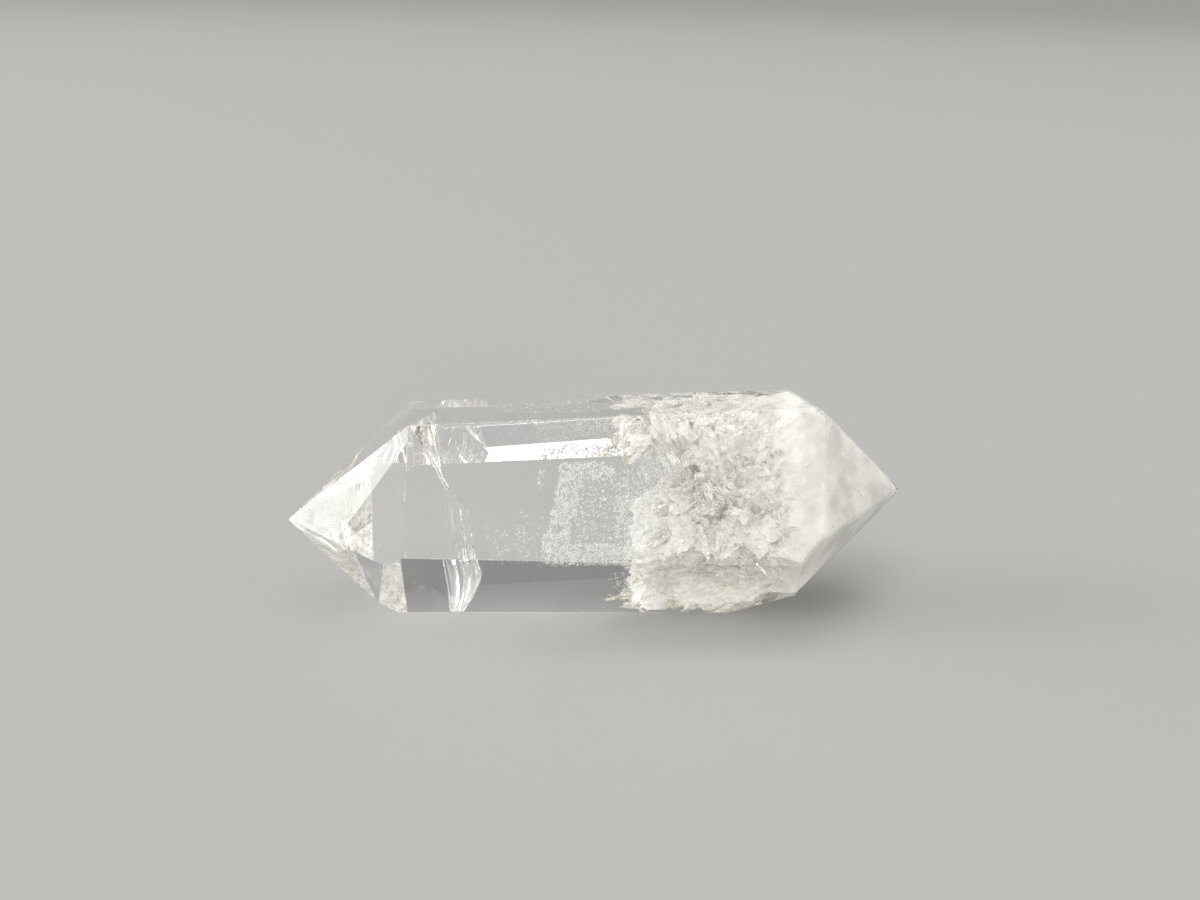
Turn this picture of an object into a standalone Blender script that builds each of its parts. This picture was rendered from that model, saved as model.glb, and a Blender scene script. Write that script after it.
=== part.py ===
"""Double terminated quartz crystal, lying on one of its long faces.

The crystal is one solid: a six-sided prism with a six-sided pyramid at each end. It starts as a plain
block, and every crystal face is one straight cut through that block. The six faces of a pyramid all
pass through its tip, and each leans and turns a little differently, as on a hand-finished point, so
the short extra edges where the faces miss each other come from the cuts themselves.

Frame: +X along the crystal towards its right-hand tip, +Y away from the side it is seen from, +Z up.
The origin is the middle of the crystal's footprint, in the plane it rests on. Lengths are in metres
and angles in degrees.
"""
from math import cos, radians, sin
from typing import NamedTuple

import bmesh
import bpy
from mathutils import Matrix, Vector


class PrismFace(NamedTuple):
    """A long face: how far it is turned about the crystal's axis, tapered along it, and set out from it."""

    turn: float  # from the horizontal towards the front, upwards
    taper: float  # towards the right-hand tip
    reach: float  # from the axis, at mid length


class PyramidFace(NamedTuple):
    """A face at one end: how far it is turned about the crystal's axis, and its slope to that axis."""

    turn: float
    slope: float


OBJECT_NAME = "quartz_crystal"
COLLECTION_NAME = "double_terminated_quartz"

# Driving dimensions
TIP_TO_TIP = 0.070
AXIS_HEIGHT = 0.0114  # of the crystal's axis above the face that it rests on
LEFT_TIP_OFFSET = (-0.0002, -0.0016)  # of the tip from the axis: away from the front, and up
RIGHT_TIP_OFFSET = (0.0032, 0.0005)

# The six long faces, 60 degrees apart but for the small errors of grinding
PRISM_FACES = {
    "resting": PrismFace(turn=-90.0, taper=0.0, reach=AXIS_HEIGHT),
    "lower_front": PrismFace(turn=-34.7, taper=-0.9, reach=0.00995),
    "upper_front": PrismFace(turn=29.3, taper=0.6, reach=0.0081),
    "top": PrismFace(turn=89.6, taper=-2.1, reach=0.0114),
    "upper_back": PrismFace(turn=151.7, taper=-0.7, reach=0.0095),
    "lower_back": PrismFace(turn=209.2, taper=2.3, reach=0.00855),
}

# The six faces at each end, one for each long face. A natural pyramid face slopes at 38 degrees.
LEFT_PYRAMID = {
    "resting": PyramidFace(turn=-86.5, slope=39.3),
    "lower_front": PyramidFace(turn=-28.7, slope=38.3),
    "upper_front": PyramidFace(turn=30.7, slope=33.5),
    "top": PyramidFace(turn=88.2, slope=41.7),
    "upper_back": PyramidFace(turn=151.2, slope=36.8),
    "lower_back": PyramidFace(turn=211.6, slope=35.3),
}
RIGHT_PYRAMID = {
    "resting": PyramidFace(turn=-96.9, slope=27.7),
    "lower_front": PyramidFace(turn=-31.1, slope=43.3),
    "upper_front": PyramidFace(turn=26.0, slope=42.8),
    "top": PyramidFace(turn=105.0, slope=40.3),
    "upper_back": PyramidFace(turn=150.0, slope=42.0),
    "lower_back": PyramidFace(turn=210.0, slope=42.0),
}

# The block that the crystal is cut from: larger than the crystal all round
BLOCK_SIZE = (1.4 * TIP_TO_TIP, 0.6 * TIP_TO_TIP, 0.6 * TIP_TO_TIP)

# A cut passes through a corner that is nearer to it than this
CUT_TOLERANCE = 1e-6

# Clear rock crystal
QUARTZ_COLOUR = (0.93, 0.93, 0.91, 1.0)
QUARTZ_IOR = 1.544
POLISHED_ROUGHNESS = 0.03


def remove_old_objects() -> None:
    """Empty the scene, so that the crystal is the only object in it."""
    for old in list(bpy.data.objects):
        bpy.data.objects.remove(old, do_unlink=True)


def face_direction(turn: float, along: float) -> Vector:
    """Outward direction of a face turned about the crystal's axis and tilted along it."""
    across = cos(radians(along))
    return Vector((sin(radians(along)), -cos(radians(turn)) * across, sin(radians(turn)) * across))


def cut_face(block: bmesh.types.BMesh, point: Vector, outward: Vector) -> None:
    """Cut away all of the block outside one crystal face, and close the cut with that face."""
    everything = block.verts[:] + block.edges[:] + block.faces[:]
    cut = bmesh.ops.bisect_plane(
        block,
        geom=everything,
        dist=CUT_TOLERANCE,
        plane_co=point,
        plane_no=outward,
        clear_outer=True,
    )
    rim = [item for item in cut["geom_cut"] if isinstance(item, bmesh.types.BMEdge)]
    bmesh.ops.holes_fill(block, edges=rim)


def cut_prism(block: bmesh.types.BMesh) -> None:
    """Cut the six long faces."""
    middle = Vector((0.0, 0.0, AXIS_HEIGHT))
    for face in PRISM_FACES.values():
        outward = face_direction(face.turn, face.taper)
        cut_face(block, middle + face.reach * outward, outward)


def cut_pyramid(block: bmesh.types.BMesh, faces: dict[str, PyramidFace], offset: tuple[float, float],
                end: int) -> None:
    """Cut the six faces through the tip at one end: end is -1 for the left and 1 for the right."""
    tip = Vector((end * TIP_TO_TIP / 2, offset[0], AXIS_HEIGHT + offset[1]))
    for face in faces.values():
        cut_face(block, tip, face_direction(face.turn, end * face.slope))


def centre_on_footprint(block: bmesh.types.BMesh) -> None:
    """Move the crystal so that the origin is in the middle of its length and width, on its resting face."""
    lowest = [min(corner.co[i] for corner in block.verts) for i in range(3)]
    highest = [max(corner.co[i] for corner in block.verts) for i in range(3)]
    middle = Vector(((lowest[0] + highest[0]) / 2, (lowest[1] + highest[1]) / 2, lowest[2]))
    bmesh.ops.translate(block, vec=-middle, verts=block.verts)


def quartz_material() -> bpy.types.Material:
    """Clear polished quartz."""
    material = bpy.data.materials.new("clear_quartz")
    material.use_nodes = True
    shader = material.node_tree.nodes["Principled BSDF"]
    shader.inputs["Base Color"].default_value = QUARTZ_COLOUR
    shader.inputs["Metallic"].default_value = 0.0
    shader.inputs["Roughness"].default_value = POLISHED_ROUGHNESS
    shader.inputs["IOR"].default_value = QUARTZ_IOR
    shader.inputs["Transmission Weight"].default_value = 1.0
    return material


def make_crystal(collection: bpy.types.Collection) -> bpy.types.Object:
    """Cut the crystal out of its block and put it in the collection."""
    block = bmesh.new()
    size = Matrix.Diagonal((*BLOCK_SIZE, 1.0))
    place = Matrix.Translation((0.0, 0.0, AXIS_HEIGHT))
    bmesh.ops.create_cube(block, size=1.0, matrix=place @ size)
    cut_prism(block)
    cut_pyramid(block, LEFT_PYRAMID, LEFT_TIP_OFFSET, -1)
    cut_pyramid(block, RIGHT_PYRAMID, RIGHT_TIP_OFFSET, 1)
    centre_on_footprint(block)
    bmesh.ops.recalc_face_normals(block, faces=block.faces)

    mesh = bpy.data.meshes.new(OBJECT_NAME)
    block.to_mesh(mesh)
    block.free()
    mesh.materials.append(quartz_material())
    crystal = bpy.data.objects.new(OBJECT_NAME, mesh)
    collection.objects.link(crystal)
    return crystal


def main() -> None:
    """Make the crystal in a collection of its own."""
    remove_old_objects()
    collection = bpy.data.collections.new(COLLECTION_NAME)
    bpy.context.scene.collection.children.link(collection)
    make_crystal(collection)


main()
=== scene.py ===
"""Double terminated quartz crystal: polished faces, and the fractures, bubbles and cloud inside it."""

import logging
from dataclasses import dataclass
from enum import Enum
from math import cos, radians, sin

import bpy
import numpy as np
from mathutils import Matrix, Vector, noise


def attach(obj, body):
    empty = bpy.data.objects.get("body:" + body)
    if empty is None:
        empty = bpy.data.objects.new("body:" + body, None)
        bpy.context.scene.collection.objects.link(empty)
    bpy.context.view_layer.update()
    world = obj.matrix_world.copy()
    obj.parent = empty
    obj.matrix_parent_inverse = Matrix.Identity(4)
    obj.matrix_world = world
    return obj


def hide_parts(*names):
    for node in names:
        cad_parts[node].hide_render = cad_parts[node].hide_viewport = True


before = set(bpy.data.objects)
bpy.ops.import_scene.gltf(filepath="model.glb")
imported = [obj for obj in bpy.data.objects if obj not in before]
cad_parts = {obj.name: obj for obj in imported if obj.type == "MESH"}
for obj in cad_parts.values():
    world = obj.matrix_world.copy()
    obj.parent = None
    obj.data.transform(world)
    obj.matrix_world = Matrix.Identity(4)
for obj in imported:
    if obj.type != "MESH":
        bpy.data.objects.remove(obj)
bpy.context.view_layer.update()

LOG = logging.getLogger("quartz")
MM = 0.001
QUARTZ_IOR = 1.544
NOISE_SEED = 1  # Blender's vector noise starts from the clock without one

# The sockets of a Mix node that mixes colours: its share and two colours, and its result
COLOUR_MIX_INPUTS = (0, 6, 7)
COLOUR_MIX_RESULT = 2

# The sockets of the two shaders that a Mix Shader mixes
SHADER_MIX_INPUTS = (1, 2)

# How often light may turn inside the crystal
LIGHT_TURNS = {
    "max_bounces": 32,
    "glossy_bounces": 24,
    "transmission_bounces": 24,
    "diffuse_bounces": 6,
    "transparent_max_bounces": 64,
}

Pair = tuple[float, float]
Triple = tuple[float, float, float]


class Facing(Enum):
    """The side that the faces of a closed piece point to."""

    OUTWARDS = "outwards"
    INWARDS = "inwards"


class Value:
    """A number, colour or vector on a shader wire, with Python's operators for its sums."""

    def __init__(self, nodes: "Nodes", socket: bpy.types.NodeSocket) -> None:
        """Wrap a socket.

        Args:
            nodes: the node tree that the socket is in.
            socket: the output socket to wrap.
        """
        self.nodes = nodes
        self.socket = socket

    def _math(self, operation: str, *terms: "Value | float") -> "Value":
        """Add one Math node fed by the terms, in their order."""
        node = self.nodes.add("ShaderNodeMath", {"operation": operation})
        for place, term in zip(node.inputs, terms):
            self.nodes.feed(place, term)
        return Value(self.nodes, node.outputs[0])

    def __add__(self, other: "Value | float") -> "Value":
        """This plus other."""
        return self._math("ADD", self, other)

    __radd__ = __add__

    def __sub__(self, other: "Value | float") -> "Value":
        """This less other."""
        return self._math("SUBTRACT", self, other)

    def __rsub__(self, other: float) -> "Value":
        """A number less this."""
        return self._math("SUBTRACT", other, self)

    def __mul__(self, other: "Value | float") -> "Value":
        """This times other."""
        return self._math("MULTIPLY", self, other)

    __rmul__ = __mul__

    def ridges(self) -> "Value":
        """1 where noise crosses its middle value, falling to 0 on both sides: thin winding lines."""
        return 1.0 - self._math("ABSOLUTE", 2.0 * self - 1.0)

    def ramp(self, low: float, high: float) -> "Value":
        """0 up to low and 1 from high, with a smooth rise between them."""
        settings = {"interpolation_type": "SMOOTHSTEP"}
        node = self.nodes.add("ShaderNodeMapRange", settings, Value=self, From_Min=low, From_Max=high)
        return self.nodes.out(node, "Result")


class Nodes:
    """A node tree that is being filled."""

    def __init__(self, tree: bpy.types.NodeTree) -> None:
        """Take up a tree.

        Args:
            tree: the tree to fill.
        """
        self.tree = tree

    def feed(self, place: bpy.types.NodeSocket, item: object) -> None:
        """Link a Value to an input, or set a number, vector or colour on it."""
        if isinstance(item, Value):
            self.tree.links.new(item.socket, place)
        elif place.type == "RGBA":
            place.default_value = (*item, 1.0)
        else:
            place.default_value = item

    def add(self, kind: str, settings: dict[str, object] | None = None, **inputs: object) -> bpy.types.Node:
        """Add a node.

        Args:
            kind: the node's type, such as ShaderNodeTexNoise.
            settings: the node's own settings, made before its inputs, with a colour ramp's stops as stops.
            inputs: a number, colour or Value for each input, with _ for each space in its name.

        Returns:
            The node.
        """
        node = self.tree.nodes.new(kind)
        for name, setting in (settings or {}).items():
            if name == "stops":
                self._set_stops(node.color_ramp.elements, setting)
            else:
                setattr(node, name, setting)
        for name, item in inputs.items():
            self.feed(node.inputs[name.replace("_", " ")], item)
        return node

    @staticmethod
    def _set_stops(elements: bpy.types.ColorRampElements, stops: list[tuple[float, list[float]]]) -> None:
        """Give a colour ramp its stops, each a place from 0 to 1 and a colour."""
        while len(elements) < len(stops):
            elements.new(0.5)
        for element, (place, colour) in zip(elements, stops):
            element.position = place
            element.color = (*colour, 1.0)

    def out(self, node: bpy.types.Node, name: str) -> Value:
        """The named output of a node, as a Value."""
        return Value(self, node.outputs[name])

    def blend(self, share: Value, first: Triple | Value, second: Triple | Value) -> Value:
        """The first colour where the share is 0, and the second where it is 1."""
        node = self.add("ShaderNodeMix", {"data_type": "RGBA"})
        for index, item in zip(COLOUR_MIX_INPUTS, (share, first, second)):
            self.feed(node.inputs[index], item)
        return Value(self, node.outputs[COLOUR_MIX_RESULT])


class Surface(Nodes):
    """A material being made: its Principled shader, and the nodes that feed it."""

    def __init__(self, name: str) -> None:
        """Start a material that has only its Principled shader.

        Args:
            name: the material's name.
        """
        self.material = bpy.data.materials.new(name)
        self.material.use_nodes = True
        super().__init__(self.material.node_tree)
        self.shader = self.tree.nodes["Principled BSDF"]

    def place(self) -> Value:
        """Where a point is on the object, in metres."""
        return self.out(self.add("ShaderNodeTexCoord"), "Object")

    def noise_at(self, place: Value, scale: float, detail: float, stretch: Triple) -> Value:
        """Soft noise from 0 to 1 that follows the given place, squeezed along each axis by its stretch."""
        mapping = self.out(self.add("ShaderNodeMapping", Vector=place, Scale=stretch), "Vector")
        return self.out(self.add("ShaderNodeTexNoise", Vector=mapping, Scale=scale, Detail=detail), "Fac")

    def noise(self, size: float, detail: float = 3.0, stretch: Triple = (1, 1, 1)) -> Value:
        """Soft noise from 0 to 1 whose blotches are about size metres across."""
        return self.noise_at(self.place(), 1.0 / size, detail, stretch)

    def set(self, **inputs: object) -> None:
        """Set or link inputs of the Principled shader, with _ for each space in a name."""
        for name, item in inputs.items():
            self.feed(self.shader.inputs[name.replace("_", " ")], item)


def make_quartz(surface: Surface, roughness: Value | float, share: float = 0.95) -> bpy.types.Material:
    """Turn a surface into colourless quartz, which the lamps' light passes straight through.

    Args:
        surface: the surface to finish.
        roughness: its roughness.
        share: how much of the lamps' light passes each surface, onto what the quartz holds.

    Returns:
        The material.
    """
    surface.set(Base_Color=(1.0, 1.0, 1.0), Roughness=roughness, IOR=QUARTZ_IOR, Transmission_Weight=1.0)
    clear = surface.add("ShaderNodeBsdfTransparent", Color=(share, share, share))
    path = surface.add("ShaderNodeLightPath")
    mix = surface.add("ShaderNodeMixShader", Fac=surface.out(path, "Is Shadow Ray"))
    for index, shader in zip(SHADER_MIX_INPUTS, (surface.shader, clear)):
        surface.feed(mix.inputs[index], surface.out(shader, "BSDF"))
    surface.feed(surface.tree.nodes["Material Output"].inputs["Surface"], surface.out(mix, "Shader"))
    return surface.material


@dataclass(frozen=True)
class ClearQuartz:
    """Polished, colourless quartz."""

    roughness: float = 0.0

    def make(self) -> bpy.types.Material:
        """Build the material."""
        return make_quartz(Surface("clear_quartz"), self.roughness)


@dataclass(frozen=True)
class WornEdge:
    """The narrow ground strip along each edge."""

    least_roughness: float = 0.25
    added_roughness: float = 0.3
    blotch: float = 0.4 * MM
    worn: Pair = (0.4, 0.7)  # noise up to the first is least worn, and from the second it is most worn

    def make(self) -> bpy.types.Material:
        """Build the material."""
        surface = Surface("worn_edge")
        wear = surface.noise(self.blotch).ramp(*self.worn)
        return make_quartz(surface, self.least_roughness + self.added_roughness * wear)


@dataclass(frozen=True)
class MilkyFracture:
    """Fractured quartz that scatters light: cream white, with clearer places, and smoother in the tip; its
    creases carry painted highlights, and its lower part a painted glow.
    """

    name: str
    cover: Pair  # of the clearest and the whitest places
    clear: Pair  # noise up to the first is clearest, and from the second it is whitest
    # The same for its creases, painted lighter along the ridges of their bump as painted highlights, for
    # its lighter random spots, and for the tone and cover of the tip
    painted_crease_highlights: Pair = (0.86, 0.99)
    bright_spots: Pair = (0.38, 0.62)
    tip_tones: Pair = (0.38, 0.60)
    tip_dense: Pair = (0.36, 0.58)
    blotch: float = 2.4 * MM  # size of the clearer places
    crease: float = 1.1 * MM
    relief: float = 0.12 * MM
    # The darker tone between the creases, and the lighter tone of the painted crease highlights and the
    # random spots
    shade: Triple = (0.83, 0.818, 0.775)
    light: Triple = (0.985, 0.975, 0.935)
    roughness: float = 0.42
    shine: float = 0.4
    tip: Pair = (18.9 * MM, 20.6 * MM)  # where the smooth milky quartz begins
    tip_cover: Pair = (0.72, 0.97)
    tip_shade: Triple = (0.87, 0.858, 0.815)
    tip_light: Triple = (0.96, 0.948, 0.90)
    tip_blotch: float = 5.0 * MM
    tip_cover_blotch: float = 3.5 * MM
    # Painted glow: emission that lights the milk's lower part, standing in for light scattered down inside
    # it, and the heights where it is all there and gone
    painted_glow: Triple = (0.25, 0.245, 0.226)
    painted_glow_heights: Pair = (2.0 * MM, 9.5 * MM)

    def make(self) -> bpy.types.Material:
        """Build the material."""
        surface = Surface(self.name)
        coarse = surface.noise(self.blotch, detail=5.0)
        fine = surface.noise(0.25 * self.blotch, detail=4.0, stretch=(1.0, 1.4, 0.6))
        creases = surface.noise(self.crease, detail=5.0, stretch=(0.6, 1.3, 1.0)).ridges()
        # Painted highlights: the colour is lighter along the creases, where the bump raises its ridges, and
        # in random spots
        lines = 0.5 * creases.ramp(*self.painted_crease_highlights) + 0.5 * fine.ramp(*self.bright_spots)
        crumpled = surface.blend(lines, self.shade, self.light)
        tones = surface.noise(self.tip_blotch).ramp(*self.tip_tones)
        milky = surface.blend(tones, self.tip_shade, self.tip_light)
        split = surface.add("ShaderNodeSeparateXYZ", Vector=surface.place())
        in_tip = surface.out(split, "X").ramp(*self.tip)
        # Painted glow mask: 0 low down, where the milk's painted glow is strongest, and 1 high up, where it
        # is gone
        high = surface.out(split, "Z").ramp(*self.painted_glow_heights)
        height = (creases + 0.6 * fine) * (1.0 - in_tip)
        bump = surface.add("ShaderNodeBump", Strength=1.0, Distance=self.relief, Height=height)
        surface.set(
            Base_Color=surface.blend(in_tip, crumpled, milky),
            Roughness=self.roughness,
            Specular_IOR_Level=self.shine,
            Normal=surface.out(bump, "Normal"),
            Emission_Color=surface.blend(1.0 - high, (0.0, 0.0, 0.0), self.painted_glow),
            Emission_Strength=1.0,
        )
        least, most = self.cover
        if least < 1.0:
            cover = least + (most - least) * (0.6 * coarse + 0.4 * fine).ramp(*self.clear)
            least, most = self.tip_cover
            dense = surface.noise(self.tip_cover_blotch).ramp(*self.tip_dense)
            surface.set(Alpha=cover + in_tip * (least + (most - least) * dense - cover))
        return surface.material


@dataclass(frozen=True)
class StreakedFracture:
    """A fracture's face: white streaks that run along it, with clear quartz between them."""

    name: str
    metallic: float
    roughness: float
    cover: Pair  # of its clearest and its whitest parts
    shade: Triple = (0.91, 0.89, 0.83)
    light: Triple = (0.98, 0.965, 0.92)
    shine: float = 0.5
    bright: Pair = (0.3, 0.6)  # noise up to the first has the shade's tone, and from the second the light's
    edges: Pair = (0.42, 0.58)  # the same for the clear gaps and the white streaks
    # Stretch, scale and share of the noises that make up the streaks
    streaks: tuple[tuple[Triple, float, float], ...] = (
        ((0.5, 3.0, 1.0), 1.3, 0.4),
        ((1.0, 1.5, 1.0), 0.9, 0.35),
        ((2.0, 7.0, 1.0), 1.0, 0.25),
    )

    def make(self) -> bpy.types.Material:
        """Build the material."""
        surface = Surface(self.name)
        spot = surface.out(surface.add("ShaderNodeUVMap", {"uv_map": "sheet"}), "UV")
        noises = [surface.noise_at(spot, scale, 3.0, stretch) for stretch, scale, _ in self.streaks]
        first, *others = (share * streak for streak, (*_, share) in zip(noises, self.streaks))
        streaks = sum(others, first)
        least, most = self.cover
        surface.set(
            Base_Color=surface.blend(noises[-1].ramp(*self.bright), self.shade, self.light),
            Metallic=self.metallic,
            Roughness=self.roughness,
            Specular_IOR_Level=self.shine,
            Alpha=least + (most - least) * streaks.ramp(*self.edges),
        )
        return surface.material


@dataclass(frozen=True)
class WhiteSpeck:
    """Bubbles and broken flakes: plain white."""

    name: str
    metallic: float
    roughness: float
    tone: Triple = (0.95, 0.945, 0.925)
    shine: float = 0.3
    blotch: float = 0.3 * MM
    added_roughness: float = 0.1

    def make(self) -> bpy.types.Material:
        """Build the material."""
        surface = Surface(self.name)
        surface.set(
            Base_Color=self.tone,
            Metallic=self.metallic,
            Roughness=self.roughness + self.added_roughness * surface.noise(self.blotch),
            Specular_IOR_Level=self.shine,
        )
        return surface.material


def bearing(azimuth: float, elevation: float) -> Vector:
    """The direction at an azimuth, from the front towards the right, and an elevation, in degrees."""
    turn, level = radians(azimuth), cos(radians(elevation))
    return Vector((sin(turn) * level, -cos(turn) * level, sin(radians(elevation))))


@dataclass(frozen=True)
class PhotoCamera:
    """The camera that took the photograph, as fitted to the crystal's corners."""

    elevation: float = 19.93
    azimuth: float = -4.26
    roll: float = 1.50
    distance: float = 144.2 * MM
    aim: Triple = (-0.45 * MM, 0.0, 17.93 * MM)
    focal_pixels: float = 1300.0
    frame_size: Pair = (1200.0, 900.0)
    sensor_width: float = 36.0
    nearest: float = 0.005
    farthest: float = 50.0

    def back(self) -> Vector:
        """The direction from what the camera aims at to the camera."""
        return bearing(self.azimuth, self.elevation)

    def location(self) -> Vector:
        """Where the camera stands."""
        return Vector(self.aim) + self.distance * self.back()

    def axes(self) -> tuple[Vector, Vector, Vector]:
        """The picture's right and up, and the way the camera looks."""
        forward = -self.back()
        level = forward.cross(Vector((0, 0, 1))).normalized()
        upright = level.cross(forward)
        roll = radians(self.roll)
        right = cos(roll) * level + sin(roll) * upright
        up = cos(roll) * upright - sin(roll) * level
        return right, up, forward

    def make(self) -> bpy.types.Object:
        """Add the camera and make it the scene's own."""
        data = bpy.data.cameras.new("photo_camera")
        data.sensor_width = self.sensor_width
        data.lens = self.sensor_width * self.focal_pixels / self.frame_size[0]
        data.clip_start, data.clip_end = self.nearest, self.farthest
        camera = bpy.data.objects.new("photo_camera", data)
        right, up, forward = self.axes()
        turn = Matrix((right, up, -forward)).transposed().to_4x4()
        camera.matrix_world = Matrix.Translation(self.location()) @ turn
        bpy.context.scene.collection.objects.link(camera)
        bpy.context.scene.camera = camera
        return camera


def unit(vectors: np.ndarray) -> np.ndarray:
    """The vectors, one row each, at a length of 1."""
    return vectors / np.maximum(np.linalg.norm(vectors, axis=1), 1e-12)[:, None]


class CrystalForm:
    """The crystal's flat faces and its edges, read from the CAD solid, for keeping things inside it."""

    LEAST_AREA = 1e-10
    SAME_DIRECTION = 0.9999  # cosine between the normals of two triangles of one face
    ON_FACE = 0.02 * MM
    LEAST_EDGE = 1.0 * MM
    ROUNDS = 6  # of moving points in from their nearest face

    def __init__(self, node: bpy.types.Object) -> None:
        """Read the planes of the faces, and the edges where two of them meet.

        Args:
            node: the CAD node of the crystal, a convex solid.
        """
        planes: list[tuple[Vector, float]] = []
        for face in node.data.polygons:
            normal = face.normal.copy()
            reach = normal.dot(node.data.vertices[face.vertices[0]].co)
            is_new = all(normal.dot(other) < self.SAME_DIRECTION for other, _ in planes)
            if face.area > self.LEAST_AREA and is_new:
                planes.append((normal, reach))
        self.normals = np.array([normal for normal, _ in planes])
        self.reaches = np.array([reach for _, reach in planes])
        self.edges = self._find_edges(np.array([corner.co for corner in node.data.vertices]))

    def _find_edges(self, corners: np.ndarray) -> list[tuple[np.ndarray, np.ndarray, np.ndarray]]:
        """Find each edge's two ends and its outward direction, from the crystal's corners."""
        near = np.abs(corners @ self.normals.T - self.reaches) < self.ON_FACE
        edges = []
        for first in range(len(self.normals)):
            for second in range(first):
                ends = corners[near[:, first] & near[:, second]]
                if len(ends) < 2:
                    continue
                along = np.cross(self.normals[first], self.normals[second])
                order = (ends @ along).argsort()
                start, end = ends[order[0]], ends[order[-1]]
                if np.linalg.norm(end - start) > self.LEAST_EDGE:
                    edges.append((start, end, unit(self.normals[[first]] + self.normals[[second]])[0]))
        return edges

    def depth(self, points: np.ndarray) -> np.ndarray:
        """How far each point is inside the nearest face; less than 0 outside the crystal."""
        return (self.reaches - points @ self.normals.T).min(axis=1)

    def hold_in(self, points: np.ndarray, margin: float) -> np.ndarray:
        """Move points that are nearer to a face than the margin straight in from that face."""
        held = points.copy()
        for _ in range(self.ROUNDS):
            over = held @ self.normals.T - (self.reaches - margin)
            worst = over.argmax(axis=1)
            push = np.maximum(over[np.arange(len(held)), worst], 0.0)
            held -= push[:, None] * self.normals[worst]
        return held


class CrystalView:
    """Looks into the crystal from the camera's place, to set things where the photograph shows them."""

    def __init__(self, camera: PhotoCamera, form: CrystalForm) -> None:
        """Take up the camera's place.

        Args:
            camera: the photograph's camera.
            form: the crystal's faces.
        """
        self.camera = camera
        self.form = form

    def sights(self, pixels: np.ndarray) -> tuple[np.ndarray, np.ndarray]:
        """Follow the sight of some pixels into the crystal.

        Args:
            pixels: pixels of the photograph, one row each.

        Returns:
            Where each sight enters the crystal, and its direction inside.
        """
        right, up, forward = (np.array(axis) for axis in self.camera.axes())
        across, down = (pixels - np.array(self.camera.frame_size) / 2).T
        sight = forward * self.camera.focal_pixels + right * across[:, None] - up * down[:, None]
        sight /= np.linalg.norm(sight, axis=1)[:, None]
        eye = np.array(self.camera.location())
        facing = sight @ self.form.normals.T
        ways = np.full(facing.shape, -np.inf)
        np.divide(self.form.reaches - eye @ self.form.normals.T, facing, out=ways, where=facing < -1e-6)
        face = ways.argmax(axis=1)
        way = ways[np.arange(len(pixels)), face]
        normal = self.form.normals[face]
        cosine = -(sight * normal).sum(axis=1)
        ratio = 1.0 / QUARTZ_IOR
        bend = ratio * cosine - np.sqrt(1.0 - ratio**2 * (1.0 - cosine**2))
        return eye + sight * way[:, None], ratio * sight + bend[:, None] * normal

    def points(self, pixels: np.ndarray, depths: np.ndarray) -> np.ndarray:
        """The places behind some pixels, each so many metres behind the face it is seen through."""
        entries, directions = self.sights(pixels)
        return entries + directions * depths[:, None]


def select_only(*pieces: bpy.types.Object) -> None:
    """Select the pieces and nothing else, with the last one active."""
    bpy.ops.object.select_all(action="DESELECT")
    for piece in pieces:
        piece.select_set(True)
    bpy.context.view_layer.objects.active = pieces[-1]


def apply_modifiers(piece: bpy.types.Object) -> None:
    """Apply all modifiers of a piece, in order."""
    select_only(piece)
    for modifier in list(piece.modifiers):
        bpy.ops.object.modifier_apply(modifier=modifier.name)


def turn_faces(piece: bpy.types.Object, facing: Facing) -> None:
    """Point all faces of a closed piece to one side."""
    select_only(piece)
    bpy.ops.object.mode_set(mode="EDIT")
    bpy.ops.mesh.select_all(action="SELECT")
    bpy.ops.mesh.normals_make_consistent(inside=facing is Facing.INWARDS)
    bpy.ops.object.mode_set(mode="OBJECT")


def new_piece(name: str, corners: np.ndarray, faces: np.ndarray) -> bpy.types.Object:
    """Make a mesh of the corners and faces, one row each, and put it in the scene."""
    mesh = bpy.data.meshes.new(name)
    mesh.from_pydata(corners.tolist(), [], faces.tolist())
    piece = bpy.data.objects.new(name, mesh)
    bpy.context.scene.collection.objects.link(piece)
    return piece


def coordinates(mesh: bpy.types.Mesh) -> np.ndarray:
    """The places of a mesh's corners, one row each."""
    flat = np.empty(len(mesh.vertices) * 3, np.float32)
    mesh.vertices.foreach_get("co", flat)
    return flat.reshape(-1, 3).astype(float)


def set_coordinates(mesh: bpy.types.Mesh, points: np.ndarray) -> None:
    """Move a mesh's corners to the given places."""
    mesh.vertices.foreach_set("co", points.astype(np.float32).ravel())
    mesh.update()


def dress(piece: bpy.types.Object, *materials: bpy.types.Material) -> None:
    """Give a piece these materials and no others."""
    piece.data.materials.clear()
    for material in materials:
        piece.data.materials.append(material)


def smooth_path(points: np.ndarray, along: np.ndarray) -> np.ndarray:
    """Points on the smooth curve through the given ones, at the given shares (0 to 1) of its way."""
    count = len(points) - 1
    where = np.clip(along, 0.0, 1.0) * count
    first = np.minimum(where.astype(int), count - 1)
    t = (where - first)[:, None]
    padded = np.vstack((2 * points[0] - points[1], points, 2 * points[-1] - points[-2]))
    p0, p1, p2, p3 = (padded[first + k] for k in range(4))
    bends = (2 * p0 - 5 * p1 + 4 * p2 - p3) * t**2 + (3 * p1 - p0 - 3 * p2 + p3) * t**3
    return 0.5 * (2 * p1 + (p2 - p0) * t + bends)


def noise_shift(seed: float, steps: Triple) -> Vector:
    """Where in the endless noise a seed starts."""
    return Vector([seed * step for step in steps])


def soft_noise(points: np.ndarray, size: float, seed: float) -> np.ndarray:
    """Smooth noise from about -1 to 1 at each point, with blotches about size metres across."""
    shift = noise_shift(seed, (1.0, 1.7, -0.6))
    return np.array([noise.noise(Vector(point) / size + shift) for point in points])


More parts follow.
